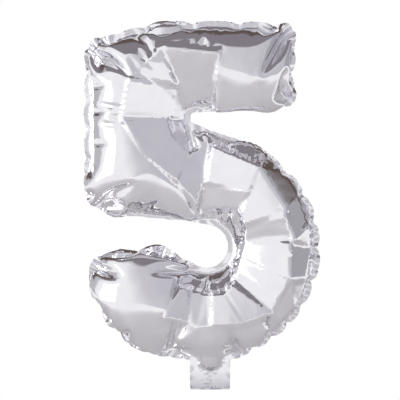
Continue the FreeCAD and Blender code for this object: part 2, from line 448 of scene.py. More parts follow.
@dataclass
class FlatCut:
    """Both films laid flat, triangulated inside the seam and across the rim.

    Args:
        figure: the figure's seam line.
        plates: the plates whose creases the triangles follow.
        spacing: edge length of the triangles, in millimetres.
        clear: how far loose points stay from every line, as a share of the spacing.
        jitter: how far a loose point is moved off its grid, as a share of the spacing.
        seed: start of the jitter's random draws.
        near_neck: half width that takes in the whole neck.
        push_step: spacing of the seam points that carry the cut's slack.
        batch: how many points are moved at a time.
    """

    figure: Figure
    plates: Plates
    spacing: float
    clear: float = 0.62
    jitter: float = 0.14
    seed: int = 5
    near_neck: float = 25.0
    push_step: float = 3.0
    batch: int = 2000
    seam: np.ndarray = field(init=False)
    plan: np.ndarray = field(init=False)
    triangles: np.ndarray = field(init=False)
    is_rim: np.ndarray = field(init=False)
    on_seam: np.ndarray = field(init=False)

    def __post_init__(self) -> None:
        self.seam = resample(fillet(self.figure.corners()), self.spacing)
        edge = self.rim_edge()
        fold = self.fold_line()
        points = np.vstack([self.seam, edge, fold, self.scatter(edge)])
        loops = [(0, len(self.seam)), (len(self.seam), len(edge))]
        edges = [(first + i, first + (i + 1) % count) for first, count in loops for i in range(count)]
        first = len(self.seam) + len(edge)
        edges += [(first + i, first + i + 1) for i in range(len(fold) - 1)]
        for start, end in zip(*self.plates.lines()):
            count = max(2, round(np.linalg.norm(end - start) / self.spacing) + 1)
            edges += [(len(points) + i, len(points) + i + 1) for i in range(count - 1)]
            points = np.vstack([points, np.linspace(start, end, count)])
        out = delaunay_2d_cdt([Vector(p) for p in points], edges, [], 0, 1e-5)
        plan = np.array([v[:] for v in out[0]])
        triangles = np.array([t for t in out[2] if len(t) == 3])
        centres = plan[triangles].mean(1)
        keep = inside(centres, edge)
        self.is_rim = ~inside(centres[keep], self.seam)
        used, triangles = np.unique(triangles[keep], return_inverse=True)
        self.triangles = triangles.reshape(-1, 3)
        self.plan = plan[used]
        self.on_seam = distance_to(self.plan, self.seam) < PUT_ON_LINE

    def rim_edge(self) -> np.ndarray:
        """The outer edge of the welded rim, cut straight across at the tail's mouth.

        Returns:
            Its points, as x and z.
        """
        fine = resample(self.seam, FINE_STEP)
        edge = fine + outward(fine) * self.figure.rim
        edge = edge[distance_to(edge, fine) > self.figure.rim - FOLDED_OVER]
        edge[:, 1] = np.maximum(edge[:, 1], self.figure.mouth)
        return resample(edge, self.spacing)

    def fold_line(self) -> np.ndarray:
        """The line across the neck where the tail folds.

        Returns:
            Its points, as x and z.
        """
        half = -self.figure.neck_side + self.figure.rim
        x = np.linspace(-half, half, round(2 * half / self.spacing) + 1)
        return np.stack([x, np.full(len(x), self.figure.fold)], axis=1)

    def scatter(self, edge: np.ndarray) -> np.ndarray:
        """Jittered points on a triangular grid, inside the rim's edge and clear of every line.

        Args:
            edge: the rim's outer edge.

        Returns:
            The points, as x and z.
        """
        rng = np.random.default_rng(self.seed)
        low, high = edge.min(0), edge.max(0)
        grid = []
        for k, z in enumerate(np.arange(low[1], high[1], self.spacing * math.sqrt(3) / 2)):
            x = np.arange(low[0] + (k % 2) * self.spacing / 2, high[0], self.spacing)
            grid.append(np.stack([x, np.full(len(x), z)], axis=1))
        grid = np.vstack(grid)
        grid += rng.uniform(-self.jitter, self.jitter, grid.shape) * self.spacing
        grid = grid[inside(grid, edge)]
        clear = self.clear * self.spacing
        near_neck = np.abs(grid[:, 0]) < self.near_neck
        at_fold = (np.abs(grid[:, 1] - self.figure.fold) < clear) & near_neck
        grid = grid[~at_fold]
        grid = grid[gap_to(grid, *self.plates.lines()) > clear]
        return grid[(distance_to(grid, self.seam) > clear) & (distance_to(grid, edge) > clear)]

    def laid_flat(self, slack: Slack) -> np.ndarray:
        """Where each plan point lies on the flat cut, which is wider than the inflated figure.

        Args:
            slack: how much wider.

        Returns:
            Its place, as x and z.
        """
        loop = resample(self.seam, self.push_step)
        push = slack.pushes(loop)
        moved = np.empty_like(self.plan)
        for start in range(0, len(self.plan), self.batch):
            part = self.plan[start : start + self.batch]
            weight = 1 / (np.sum((part[:, None, :] - loop[None]) ** 2, axis=2) + 0.5)
            moved[start : start + self.batch] = part + (weight @ push) / weight.sum(1)[:, None]
        return moved


# ---------------------------------------------------------------- inflating


@dataclass(frozen=True)
class Gather:
    """A place where the weld is drawn in and its slack goes into a pleat.

    Args:
        x: its place across the figure.
        z: its height.
        depth: how far the weld is drawn in.
    """

    x: float
    z: float
    depth: float = 3.0


@dataclass(frozen=True)
class Gathers:
    """The pleats round the weld, in millimetres, with the rim standing out in lobes between them.

    Args:
        places: the pleats.
        narrow: how far along the seam a pleat reaches.
        bow: how far the seam stands out between two pleats.
        strength: scales the depth of every pleat.
    """

    places: tuple[Gather, ...] = (
        Gather(-90, 342, 1.5), Gather(-67, 348, 2.0), Gather(-48, 353, 3.5), Gather(-18, 352, 3.5),
        Gather(29, 352, 3.5), Gather(67, 351, 3.5), Gather(82, 306, 5.0), Gather(74, 274, 3.0),
        Gather(-123, 330, 2.0), Gather(-123, 304, 3.0), Gather(-123, 279, 3.0), Gather(-123, 249, 3.0),
        Gather(-123, 220, 3.0), Gather(-122, 192, 3.0), Gather(-112, 170, 2.5),
        Gather(80, 208, 3.0), Gather(94, 181, 3.5), Gather(104, 153, 3.5), Gather(107, 127, 3.5),
        Gather(102, 92, 4.0), Gather(92, 69, 4.0), Gather(78, 51, 4.0), Gather(62, 36, 4.0),
        Gather(44, 26, 3.5), Gather(-104, 114, 3.5), Gather(-115, 88, 4.0), Gather(-107, 64, 4.0),
        Gather(-92, 43, 4.0), Gather(-65, 26, 4.0), Gather(-40, 22, 2.5), Gather(-78, 118, 3.0),
    )
    narrow: float = 4.0
    bow: float = 1.2
    strength: float = 1.0

    def pulled(self, seam: np.ndarray, order: np.ndarray) -> np.ndarray:
        """Where each seam point is drawn to.

        Args:
            seam: plan positions of the seam points.
            order: their order round the loop.

        Returns:
            The positions, moved in at the pleats and out between them.
        """
        loop = seam[order]
        away = outward(loop)
        move = np.full(len(loop), self.bow)
        for place in self.places:
            gap = np.linalg.norm(loop - (place.x, place.z), axis=1)
            move -= (self.strength * place.depth + self.bow) * np.exp(-(gap - gap.min()) / self.narrow)
        result = seam.copy()
        result[order] = loop + away * move[:, None]
        return result


@dataclass(frozen=True)
class Pressure:
    """How the films are inflated. Steps have unit time and vertices unit mass.

    Args:
        steps: how many steps there are.
        start: pressure at the start.
        end: pressure at the end.
        ease: how much sooner than the last step the end pressure is reached.
        every: steps between two updates of the push.
        drag: share of the speed lost in a step.
        film_bend: how stiffly the film resists bending.
        rim_bend: how stiffly the rim does.
        squeeze: share of an edge's shortening that is taken back in a step.
        hold: how strongly the seam is drawn to its place.
        rim_hold: how strongly the rim is.
        seam_flat: share of its depth that the seam keeps in a step.
        rim_flat: share that the rim keeps.
        tail_flat: share that the tail keeps.
        fold_hold: how strongly the fold line is drawn to its height.
        tail_top: height below which the film counts as tail.
        touch: the least distance between the two films.
        fastest: the greatest speed.
        noise: spread of the starting speeds.
        tail_share: share of the pressure in the tail.
        share_from: height from which the pressure rises above that.
        share_to: height at which it is whole.
        seed: start of the random draws.
    """

    steps: int = 1100
    quick_steps: int = 150
    start: float = 0.02
    end: float = 0.002
    ease: float = 1.6
    every: int = 5
    drag: float = 0.02
    film_bend: float = 0.05
    rim_bend: float = 0.5
    squeeze: float = 0.9
    hold: float = 0.3
    rim_hold: float = 0.12
    seam_flat: float = 0.97
    rim_flat: float = 0.99
    tail_flat: float = 0.98
    fold_hold: float = 0.5
    tail_top: float = 12.0
    touch: float = 0.3
    fastest: float = 1.5
    noise: float = 0.05
    tail_share: float = 0.06
    share_from: float = 2.0
    share_to: float = 11.0
    seed: int = 11


def groups_of(pairs: np.ndarray, count: int) -> list[np.ndarray]:
    """Splits vertex pairs into groups in which no vertex appears twice.

    Args:
        pairs: the pairs.
        count: the number of vertices.

    Returns:
        The pairs' numbers in each group.
    """
    used = [0] * count
    group = np.zeros(len(pairs), int)
    for k, (a, b) in enumerate(pairs.tolist()):
        free = ~(used[a] | used[b])
        low = free & -free
        group[k] = low.bit_length() - 1
        used[a] |= low
        used[b] |= low
    return [np.nonzero(group == g)[0] for g in range(group.max() + 1)]


@dataclass
class Links:
    """Vertex pairs with rest lengths, solved group by group.

    Args:
        pairs: the two vertices of each link.
        rest: their rest lengths.
        count: the number of vertices.
        stretch: share of the error taken out where a pair is too long.
        squeeze: share of the error taken out where a pair is too short.
    """

    pairs: np.ndarray
    rest: np.ndarray
    count: int
    stretch: float
    squeeze: float
    groups: list[tuple[np.ndarray, np.ndarray, np.ndarray]] = field(init=False)

    def __post_init__(self) -> None:
        self.groups = []
        for g in groups_of(self.pairs, self.count):
            a, b = self.pairs[g, 0].copy(), self.pairs[g, 1].copy()
            self.groups.append((a, b, self.rest[g].astype(np.float32)))

    def pull(self, at: np.ndarray) -> None:
        """Moves each pair of positions towards its rest length, in place.

        Args:
            at: all positions.
        """
        long, short = np.float32(0.5 * self.stretch), np.float32(0.5 * self.squeeze)
        for a, b, rest in self.groups:
            d = at[a] - at[b]
            length = np.sqrt(np.einsum("ij,ij->i", d, d)) + np.float32(1e-9)
            error = (length - rest) / length
            error *= np.where(error > 0, long, short)
            d *= error[:, None]
            at[a] -= d
            at[b] += d


class Inflation:
    """Two films welded along the seam, with their rim, blown up.

    Args:
        cut: the flat cut.
        slack: how much wider the cut is than the figure.
        gathers: the pleats round the weld.
        pressure: the inflation's settings.
    """

    def __init__(self, cut: FlatCut, slack: Slack, gathers: Gathers, pressure: Pressure) -> None:
        self.cut, self.pressure = cut, pressure
        film, rim = cut.triangles[~cut.is_rim], cut.triangles[cut.is_rim]
        count = len(cut.plan)
        self.inner = ~cut.on_seam
        self.inner[np.unique(rim)] = False
        at_mouth = cut.plan[:, 1] < cut.figure.mouth + ON_LINE
        self.inner |= at_mouth & (np.abs(cut.plan[:, 0]) < -cut.figure.neck_side - LIP_CLEAR)
        self.back_of = np.arange(count)
        self.back_of[self.inner] = count + np.arange(self.inner.sum())
        self.plan_of = np.concatenate([np.arange(count), np.nonzero(self.inner)[0]])
        self.flat = cut.laid_flat(slack)[self.plan_of]
        self.front = self.facing(film, -1)
        self.back = self.back_of[self.facing(film, 1)]
        self.rim = self.facing(rim, -1)
        self.seam_index = np.nonzero(cut.on_seam)[0]
        self.goal = self.goals(gathers).astype(np.float32)
        on_rim = np.zeros(count, bool)
        on_rim[np.unique(rim)] = True
        self.rim_index = np.nonzero(on_rim & ~cut.on_seam)[0]
        self.rim_goal = self.rim_goals().astype(np.float32)
        self.inner_front = np.nonzero(self.inner)[0]
        self.inner_back = self.back_of[self.inner_front]
        rise = smooth(pressure.share_from, pressure.share_to, cut.plan[self.plan_of, 1])
        self.share = (pressure.tail_share + (1 - pressure.tail_share) * rise).astype(np.float32)
        self.at = self.first_shape()
        self.links = self.all_links()

    def facing(self, triangles: np.ndarray, side: int) -> np.ndarray:
        """Triangles wound to face one way.

        Args:
            triangles: the triangles.
            side: -1 to face the front, 1 to face the back.

        Returns:
            The same triangles, some of them turned over.
        """
        a, b, c = (self.cut.plan[triangles[:, k]] for k in range(3))
        area = (b[:, 0] - a[:, 0]) * (c[:, 1] - a[:, 1]) - (b[:, 1] - a[:, 1]) * (c[:, 0] - a[:, 0])
        return np.where((area * -side > 0)[:, None], triangles, triangles[:, [0, 2, 1]])

    def goals(self, gathers: Gathers) -> np.ndarray:
        """Where the seam points are drawn to.

        Args:
            gathers: the pleats round the weld.

        Returns:
            Their places, as x and z.
        """
        seam = self.cut.plan[self.seam_index]
        loop = self.cut.seam
        place = np.array([np.argmin(((loop - p) ** 2).sum(1)) for p in seam])
        neck = seam[:, 1] < NECK_TOP
        pulled = gathers.pulled(seam, np.argsort(place, kind="stable"))
        return np.where(neck[:, None], seam, pulled)

    def rim_goals(self) -> np.ndarray:
        """Where the rim's points are drawn to: straight out from the seam beside them.

        Returns:
            Their places, as x and z.
        """
        seam, rim = self.cut.plan[self.seam_index], self.cut.plan[self.rim_index]
        beside = np.array([np.argmin(((seam - p) ** 2).sum(1)) for p in rim])
        return rim + (self.goal - seam)[beside]

    def first_shape(self) -> np.ndarray:
        """A shallow pillow over the plan.

        Returns:
            The vertices at the start.
        """
        plan = self.cut.plan[self.plan_of]
        rise = np.minimum(distance_to(self.cut.plan[self.inner], self.cut.seam), TUBE - CREST)
        tube = np.sqrt(np.maximum(TUBE**2 - (TUBE - rise) ** 2, 0))
        lift = tube * PILLOW * self.share[self.inner_front]
        at = np.zeros((len(plan), 3), np.float32)
        at[:, 0], at[:, 2] = plan[:, 0], plan[:, 1]
        at[self.inner_front, 1] = -lift - PARTED
        at[self.inner_back, 1] = lift + PARTED
        return at

    def all_links(self) -> list[Links]:
        """The stiff edges, and the weaker links across each two neighbouring faces.

        Returns:
            The links, in the order in which they are solved.
        """
        faces = np.vstack([self.front, self.back, self.rim])
        sides = np.vstack([faces[:, [0, 1]], faces[:, [1, 2]], faces[:, [2, 0]]])
        far = np.concatenate([faces[:, 2], faces[:, 0], faces[:, 1]])
        sides = np.sort(sides, axis=1)
        order = np.lexsort((sides[:, 1], sides[:, 0]))
        sides, far = sides[order], far[order]
        first = np.ones(len(sides), bool)
        first[1:] = (sides[1:] != sides[:-1]).any(1)
        second = np.nonzero(~first)[0]
        across = np.stack([far[second - 1], far[second]], axis=1)
        rim = np.zeros(len(self.at), bool)
        rim[self.rim_index] = True
        at_rim = rim[across].any(1)
        p = self.pressure
        return [
            self.linked(across[~at_rim], 0.0, p.film_bend),
            self.linked(across[at_rim], 0.0, p.rim_bend),
            self.linked(sides[first], 1.0, p.squeeze),
        ]

    def linked(self, pairs: np.ndarray, stretch: float, squeeze: float) -> Links:
        """Links that rest at their length on the flat cut.

        Args:
            pairs: the two vertices of each link.
            stretch: share of the error taken out where a pair is too long.
            squeeze: share of the error taken out where a pair is too short.

        Returns:
            The links.
        """
        rest = np.linalg.norm(self.flat[pairs[:, 0]] - self.flat[pairs[:, 1]], axis=1)
        return Links(pairs, rest, len(self.at), stretch, squeeze)

    def push(self) -> np.ndarray:
        """Outward push of the gas.

        Returns:
            A vector for each vertex, about 1 long where the whole pressure acts.
        """
        faces = np.vstack([self.front, self.back])
        a, b, c = (self.at[faces[:, k]] for k in range(3))
        # Six even triangles meet at a vertex, and the product of each is 0.87 of the spacing squared.
        normal = np.cross(b - a, c - a) / (6 * 0.87 * self.cut.spacing**2)
        total = np.empty((len(self.at), 3), np.float32)
        corners = faces.T.ravel()
        for k in range(3):
            total[:, k] = np.bincount(corners, np.tile(normal[:, k], 3), len(self.at))
        return total * self.share[:, None]

    def run(self) -> np.ndarray:
        """Blows the films up.

        Returns:
            The vertices, in millimetres.
        """
        p = self.pressure
        rng = np.random.default_rng(p.seed)
        speed = rng.normal(0, p.noise, self.at.shape).astype(np.float32)
        seam, held = self.seam_index, self.goal
        rim, spread = self.rim_index, self.rim_goal
        height = self.cut.plan[self.plan_of, 1]
        fold = np.nonzero(np.abs(height - self.cut.figure.fold) < PUT_ON_LINE)[0]
        tail = np.nonzero(height < p.tail_top)[0]
        for step in range(p.steps):
            force = p.start + (p.end - p.start) * min(1.0, p.ease * step / p.steps)
            if step % p.every == 0:
                push = self.push()
            speed *= 1 - p.drag
            speed += push * np.float32(force)
            before = self.at.copy()
            self.at += speed
            for links in self.links:
                links.pull(self.at)
            self.at[seam, 0] += (held[:, 0] - self.at[seam, 0]) * p.hold
            self.at[seam, 2] += (held[:, 1] - self.at[seam, 2]) * p.hold
            self.at[rim, 0] += (spread[:, 0] - self.at[rim, 0]) * p.rim_hold
            self.at[rim, 2] += (spread[:, 1] - self.at[rim, 2]) * p.rim_hold
            self.at[seam, 1] *= p.seam_flat
            self.at[rim, 1] *= p.rim_flat
            self.at[fold, 2] += (self.cut.figure.fold - self.at[fold, 2]) * p.fold_hold
            self.at[tail, 1] *= p.tail_flat
            gap = self.at[self.inner_front, 1] - self.at[self.inner_back, 1] + p.touch
            touch = np.maximum(gap, 0) / 2
            self.at[self.inner_front, 1] -= touch
            self.at[self.inner_back, 1] += touch
            speed = self.at - before
            size = np.sqrt((speed**2).sum(1, keepdims=True))
            speed *= np.minimum(1.0, p.fastest / (size + 1e-9))
        return self.at


# ---------------------------------------------------------------- materials


def linear(code: str) -> tuple[float, float, float, float]:
    """The linear colour of an sRGB hex code.

    Args:
        code: such as "#D8D8DC".

    Returns:
        Red, green, blue and an alpha of 1.
    """
    parts = [int(code[i : i + 2], 16) / 255 for i in (1, 3, 5)]
    low = [c / 12.92 if c <= 0.04045 else ((c + 0.055) / 1.055) ** 2.4 for c in parts]
    return (*low, 1.0)


def node(
    tree: bpy.types.NodeTree,
    kind: str,
    settings: dict[str | int, Any],
    links: dict[str | int, bpy.types.NodeSocket],
) -> bpy.types.Node:
    """Adds one node.

    Args:
        tree: the material's or world's tree.
        kind: the node's type.
        settings: attributes of the node, and values of its inputs by name or number.
        links: output sockets to join to its inputs, by name or number.

    Returns:
        The new node.
    """
    made = tree.nodes.new(kind)
    for key, value in settings.items():
        if isinstance(key, str) and hasattr(made, key):
            setattr(made, key, value)
        else:
            made.inputs[key].default_value = value
    for key, socket in links.items():
        tree.links.new(socket, made.inputs[key])
    return made


class Finish:
    """A material that is made once and then shared by pieces."""

    name: str

    def tree(self) -> tuple[bpy.types.Material, bpy.types.NodeTree]:
        """Starts the material.

        Returns:
            The new material and its empty tree.
        """
        material = bpy.data.materials.new(self.name)
        material.use_nodes = True
        material.node_tree.nodes.clear()
        return material, material.node_tree


@dataclass(frozen=True)
class MetallisedPolyester(Finish):
    """Polyester film with vacuum-deposited aluminium.

    To the eye it is a cool silver mirror, a little hazy, with shallow ripples and fine creases.

    Args:
        name: the material's name.
        colour: what the mirror does to white.
        tint: the same in the faintly warmer patches.
        haze: roughness of the mirror.
        ripple_mm: spacing of the shallow ripples that a rolled film keeps.
        ripple_height_mm: their height.
        crinkle_mm: spacing of the fine handling creases.
        crinkle_height_mm: their height.
    """

    name: str = "metallised_polyester"
    colour: str = "#F2F2F5"
    tint: str = "#E6E4EA"
    haze: float = 0.075
    ripple_mm: float = 16.0
    ripple_height_mm: float = 0.10
    crinkle_mm: float = 2.6
    crinkle_height_mm: float = 0.012

    def make(self) -> bpy.types.Material:
        """Makes the material.

        Returns:
            The material, with its nodes.
        """
        material, tree = self.tree()
        place = node(tree, "ShaderNodeTexCoord", {}, {}).outputs["Object"]
        ripple = node(
            tree,
            "ShaderNodeTexNoise",
            {"Scale": 1 / (self.ripple_mm * MM), "Detail": 2.0},
            {"Vector": place},
        )
        crinkle = node(
            tree,
            "ShaderNodeTexVoronoi",
            {"feature": "DISTANCE_TO_EDGE", "Scale": 1 / (self.crinkle_mm * MM)},
            {"Vector": place},
        )
        low = node(
            tree,
            "ShaderNodeBump",
            {"Distance": self.ripple_height_mm * MM, "Strength": 1.0},
            {"Height": ripple.outputs[0]},
        )
        high = node(
            tree,
            "ShaderNodeBump",
            {"Distance": self.crinkle_height_mm * MM, "Strength": 1.0},
            {"Height": crinkle.outputs["Distance"], "Normal": low.outputs[0]},
        )
        colour = node(
            tree,
            "ShaderNodeMix",
            {"data_type": "RGBA", 6: linear(self.colour), 7: linear(self.tint)},
            {0: ripple.outputs[0]},
        )
        haze = node(
            tree,
            "ShaderNodeMapRange",
            {"To Min": self.haze * 0.7, "To Max": self.haze * 1.4},
            {"Value": ripple.outputs[0]},
        )
        shader = node(
            tree,
            "ShaderNodeBsdfPrincipled",
            {"Metallic": 1.0},
            {"Base Color": colour.outputs[2], "Roughness": haze.outputs[0], "Normal": high.outputs[0]},
        )
        node(tree, "ShaderNodeOutputMaterial", {}, {"Surface": shader.outputs[0]})
        return material


@dataclass(frozen=True)
class CrimpedTail(Finish):
    """The same film pressed flat at the tail.

    To the eye it is a duller silver that darkens downwards, with a row of small dark crimp marks.

    Args:
        name: the material's name.
        top: what the mirror does to white at the top.
        colour: the same further down.
        mark: the colour of the crimp marks.
        haze: roughness of the mirror.
        pitch_mm: spacing of the marks.
        wave_over: level of a sine wave above which a mark is pressed.
        row_low_mm: lower end of the marks.
        row_high_mm: their upper end.
        wear_mm: size of the specks in which they are worn.
        fade_from_mm: height at which the film starts to darken.
        fade_to_mm: height at which it is darkest.
        crinkle_mm: spacing of the fine creases.
        crinkle_height_mm: their height.
    """

    name: str = "metallised_polyester_crimped"
    top: str = "#EEEEF2"
    colour: str = "#CBCBD1"
    mark: str = "#7E7C86"
    haze: float = 0.12
    pitch_mm: float = 2.4
    wave_over: float = 0.35
    row_low_mm: float = -17.8
    row_high_mm: float = -15.4
    wear_mm: float = 1.5
    fade_from_mm: float = 0.4
    fade_to_mm: float = -14.0
    crinkle_mm: float = 2.2
    crinkle_height_mm: float = 0.015

    def make(self) -> bpy.types.Material:
        """Makes the material.

        Returns:
            The material, with its nodes.
        """
        material, tree = self.tree()
        place = node(tree, "ShaderNodeTexCoord", {}, {}).outputs["Object"]
        parts = node(tree, "ShaderNodeSeparateXYZ", {}, {"Vector": place})
        turns = node(
            tree,
            "ShaderNodeMath",
            {"operation": "MULTIPLY", 1: 2 * math.pi / (self.pitch_mm * MM)},
            {0: parts.outputs[0]},
        )
        wave = node(tree, "ShaderNodeMath", {"operation": "SINE"}, {0: turns.outputs[0]})
        amount = node(tree, "ShaderNodeTexNoise", {"Scale": 1 / (self.wear_mm * MM)}, {"Vector": place})
        tests = [
            ("GREATER_THAN", self.row_low_mm * MM, parts.outputs[2]),
            ("LESS_THAN", self.row_high_mm * MM, parts.outputs[2]),
            ("GREATER_THAN", self.wave_over, wave.outputs[0]),
        ]
        for test, level, value in tests:
            mask = node(tree, "ShaderNodeMath", {"operation": test, 1: level}, {0: value}).outputs[0]
            links = {0: amount.outputs[0], 1: mask}
            amount = node(tree, "ShaderNodeMath", {"operation": "MULTIPLY"}, links)
        drop = node(
            tree,
            "ShaderNodeMapRange",
            {"From Min": self.fade_from_mm * MM, "From Max": self.fade_to_mm * MM},
            {"Value": parts.outputs[2]},
        )
        film = node(
            tree,
            "ShaderNodeMix",
            {"data_type": "RGBA", 6: linear(self.top), 7: linear(self.colour)},
            {0: drop.outputs[0]},
        )
        colour = node(
            tree,
            "ShaderNodeMix",
            {"data_type": "RGBA", 7: linear(self.mark)},
            {0: amount.outputs[0], 6: film.outputs[2]},
        )
        crinkle = node(
            tree,
            "ShaderNodeTexNoise",
            {"Scale": 1 / (self.crinkle_mm * MM), "Detail": 2.0},
            {"Vector": place},
        )
        bump = node(
            tree, "ShaderNodeBump", {"Distance": self.crinkle_height_mm * MM}, {"Height": crinkle.outputs[0]}
        )
        shader = node(
            tree,
            "ShaderNodeBsdfPrincipled",
            {"Metallic": 1.0, "Roughness": self.haze},
            {"Base Color": colour.outputs[2], "Normal": bump.outputs[0]},
        )
        node(tree, "ShaderNodeOutputMaterial", {}, {"Surface": shader.outputs[0]})
        return material


@dataclass(frozen=True)
class ClearPolyethylene(Finish):
    """Blown polyethylene film of the valve.

    To the eye it is clear and slightly milky, with a satin surface.

    Args:
        name: the material's name.
        colour: its colour.
        gloss: its roughness.
        cloud_mm: size of the patches in which the roughness varies.
        opacity: how milky it is.
    """

    name: str = "blown_polyethylene"
    colour: str = "#E6E8EA"
    gloss: float = 0.25
    cloud_mm: float = 5.0
    opacity: float = 0.45

    def make(self) -> bpy.types.Material:
        """Makes the material.

        Returns:
            The material, with its nodes.
        """
        material, tree = self.tree()
        place = node(tree, "ShaderNodeTexCoord", {}, {}).outputs["Object"]
        cloud = node(tree, "ShaderNodeTexNoise", {"Scale": 1 / (self.cloud_mm * MM)}, {"Vector": place})
        rough = node(
            tree,
            "ShaderNodeMapRange",
            {"To Min": self.gloss * 0.8, "To Max": self.gloss * 1.3},
            {"Value": cloud.outputs[0]},
        )
        shader = node(
            tree,
            "ShaderNodeBsdfPrincipled",
            {"Base Color": linear(self.colour), "Alpha": self.opacity},
            {"Roughness": rough.outputs[0]},
        )
        node(tree, "ShaderNodeOutputMaterial", {}, {"Surface": shader.outputs[0]})
        return material


@dataclass(frozen=True)
class HeatSeal(Finish):
    """Sealant that was melted and pressed between two films.

    To the eye it is a grey satin edge with a fine grain.

    Args:
        name: the material's name.
        colour: its colour.
        shade: its colour in the grain.
        gloss: its roughness.
        grain_mm: size of the grain.
    """

    name: str = "heat_sealed_polyethylene"
    colour: str = "#C9C9CE"
    shade: str = "#B4B4BA"
    gloss: float = 0.35
    grain_mm: float = 1.2

    def make(self) -> bpy.types.Material:
        """Makes the material.

        Returns:
            The material, with its nodes.
        """
        material, tree = self.tree()
        place = node(tree, "ShaderNodeTexCoord", {}, {}).outputs["Object"]
        grain = node(tree, "ShaderNodeTexNoise", {"Scale": 1 / (self.grain_mm * MM)}, {"Vector": place})
        colour = node(
            tree,
            "ShaderNodeMix",
            {"data_type": "RGBA", 6: linear(self.colour), 7: linear(self.shade)},
            {0: grain.outputs[0]},
        )
        shader = node(
            tree,
            "ShaderNodeBsdfPrincipled",
            {"Metallic": 0.6, "Roughness": self.gloss},
            {"Base Color": colour.outputs[2]},
        )
        node(tree, "ShaderNodeOutputMaterial", {}, {"Surface": shader.outputs[0]})
        return material


# ---------------------------------------------------------------- the balloon


def surface(name: str, at: np.ndarray, faces: np.ndarray, material: bpy.types.Material) -> bpy.types.Object:
    """A smooth-shaded piece from vertices in millimetres.

    Args:
        name: the piece's name.
        at: all vertices.
        faces: the triangles or quads of this piece.
        material: its finish.

    Returns:
        The object, with only the vertices that its faces use.
    """
    used, local = np.unique(faces, return_inverse=True)
    mesh = bpy.data.meshes.new(name)
    mesh.from_pydata((at[used] * MM).tolist(), [], local.reshape(faces.shape).tolist())
    mesh.polygons.foreach_set("use_smooth", [True] * len(mesh.polygons))
    mesh.materials.append(material)
    piece = bpy.data.objects.new(name, mesh)
    bpy.context.scene.collection.objects.link(piece)
    return piece


def relax(at: np.ndarray, faces: np.ndarray, rounds: int) -> np.ndarray:
    """Takes out grain finer than a few edges, without shrinking the shape.

    Args:
        at: vertices.
        faces: triangles.
        rounds: how many smoothing passes, each in and out again.

    Returns:
        The smoothed vertices.
    """
    pairs = np.vstack([faces[:, [0, 1]], faces[:, [1, 2]], faces[:, [2, 0]]])
    pairs = np.vstack([pairs, pairs[:, ::-1]])
    degree = np.bincount(pairs[:, 0], minlength=len(at))[:, None]
    for share in (0.5, -0.53) * rounds:
        total = np.stack([np.bincount(pairs[:, 0], at[pairs[:, 1], k], len(at)) for k in range(3)], axis=1)
        at = at + share * (total / np.maximum(degree, 1) - at)
    return at


@dataclass(frozen=True)
class Throat:
    """The flat tail, and the body's bulge that ends above it in a rounded fold, in millimetres.

    Args:
        half: half the width between the tail's side welds.
        puff: how far each film of the tail stands off the middle.
        fold_low: height of the bulge's lower edge at the middle.
        fold_rise: how much higher that edge is at the side welds.
        overhang: how far the bulge stands out past the tail at its lower edge.
        deep: how much further it stands out at the top.
        streak: depth of the creases that run down the tail.
        bowl_low: height of the bowl's seam beside the neck.
        bowl_radius: radius of the bowl's seam.
        tube: radius of the bowl's tube.
        from_z: height up to which this shape holds.
        to_z: height above which the inflated shape holds.
        wide: half widths between which this shape gives way to the inflated one.
        least: the least distance of a film from the middle.
        join: power with which the tail and the bowl are joined.
        back_share: depth of the back film, as a share of the front one's.
        back_shift: how far the creases of the back film are shifted across.
        rim_wave: how far the tail's side welds wave.
        rim_width: width of those welds.
    """

    half: float = 13.0
    puff: float = 1.6
    fold_low: float = 2.5
    fold_rise: float = 13.0
    overhang: float = 2.5
    deep: float = 12.5
    streak: float = 0.6
    bowl_low: float = 16.6
    bowl_radius: float = 110.0
    tube: float = TUBE
    from_z: float = 15.0
    to_z: float = 31.0
    wide: tuple[float, float] = (17.0, 32.0)
    least: float = 0.12
    join: int = 6
    back_share: float = 0.9
    back_shift: float = 5.0
    rim_wave: float = 0.25
    rim_width: float = 7.5

    def depth(self, x: np.ndarray, z: np.ndarray) -> np.ndarray:
        """How far the front film stands in front of the middle.

        Args:
            x: places across the figure.
            z: their heights.

        Returns:
            The depths.
        """
        across = np.clip(np.abs(x) / self.half, 0, 1)
        swell = 1 - across**2
        creases = np.sin(x * 1.3 + 0.6 * np.sin(z * 0.5)) + 0.6 * np.sin(x * 2.9 + 1.0 + z * 0.15)
        flat = np.maximum(self.puff * swell**1.5 + self.streak * creases * swell, self.least)
        edge = self.fold_low + self.fold_rise * across**4
        climb = np.sqrt(np.clip((z - edge) / (self.to_z - self.fold_low), 0, 1))
        tongue = smooth(edge - 0.6, edge + 1.2, z) * np.sqrt(swell) * (self.overhang + self.deep * climb)
        rise = np.clip(z - self.bowl_low - x**2 / (2 * self.bowl_radius), 0, self.tube)
        bowl = np.sqrt(self.tube**2 - (self.tube - rise) ** 2)
        return flat + (tongue**self.join + bowl**self.join) ** (1 / self.join)

    def shaped(self, shell: Inflation, at: np.ndarray) -> np.ndarray:
        """The vertices with the tail and throat laid in place.

        Args:
            shell: the inflated films.
            at: their vertices.

        Returns:
            The new places.
        """
        x, z = shell.cut.plan[shell.plan_of].T
        made = np.stack([x, np.zeros(len(x)), z], axis=1)
        front, back = shell.inner_front, shell.inner_back
        made[front, 1] = -self.depth(x[front], z[front])
        shifted = x[back] + self.back_shift * (z[back] < self.fold_low)
        made[back, 1] = self.depth(shifted, z[back]) * self.back_share
        rim = shell.rim_index
        wave = self.rim_wave * np.sin(z[rim] * 0.3 + np.sign(x[rim]))
        made[rim, 1] = wave * (np.abs(x[rim]) - self.half) / self.rim_width
        near = (1 - smooth(*self.wide, np.abs(x))) * (1 - smooth(self.from_z, self.to_z, z))
        return at + near[:, None] * (made - at)


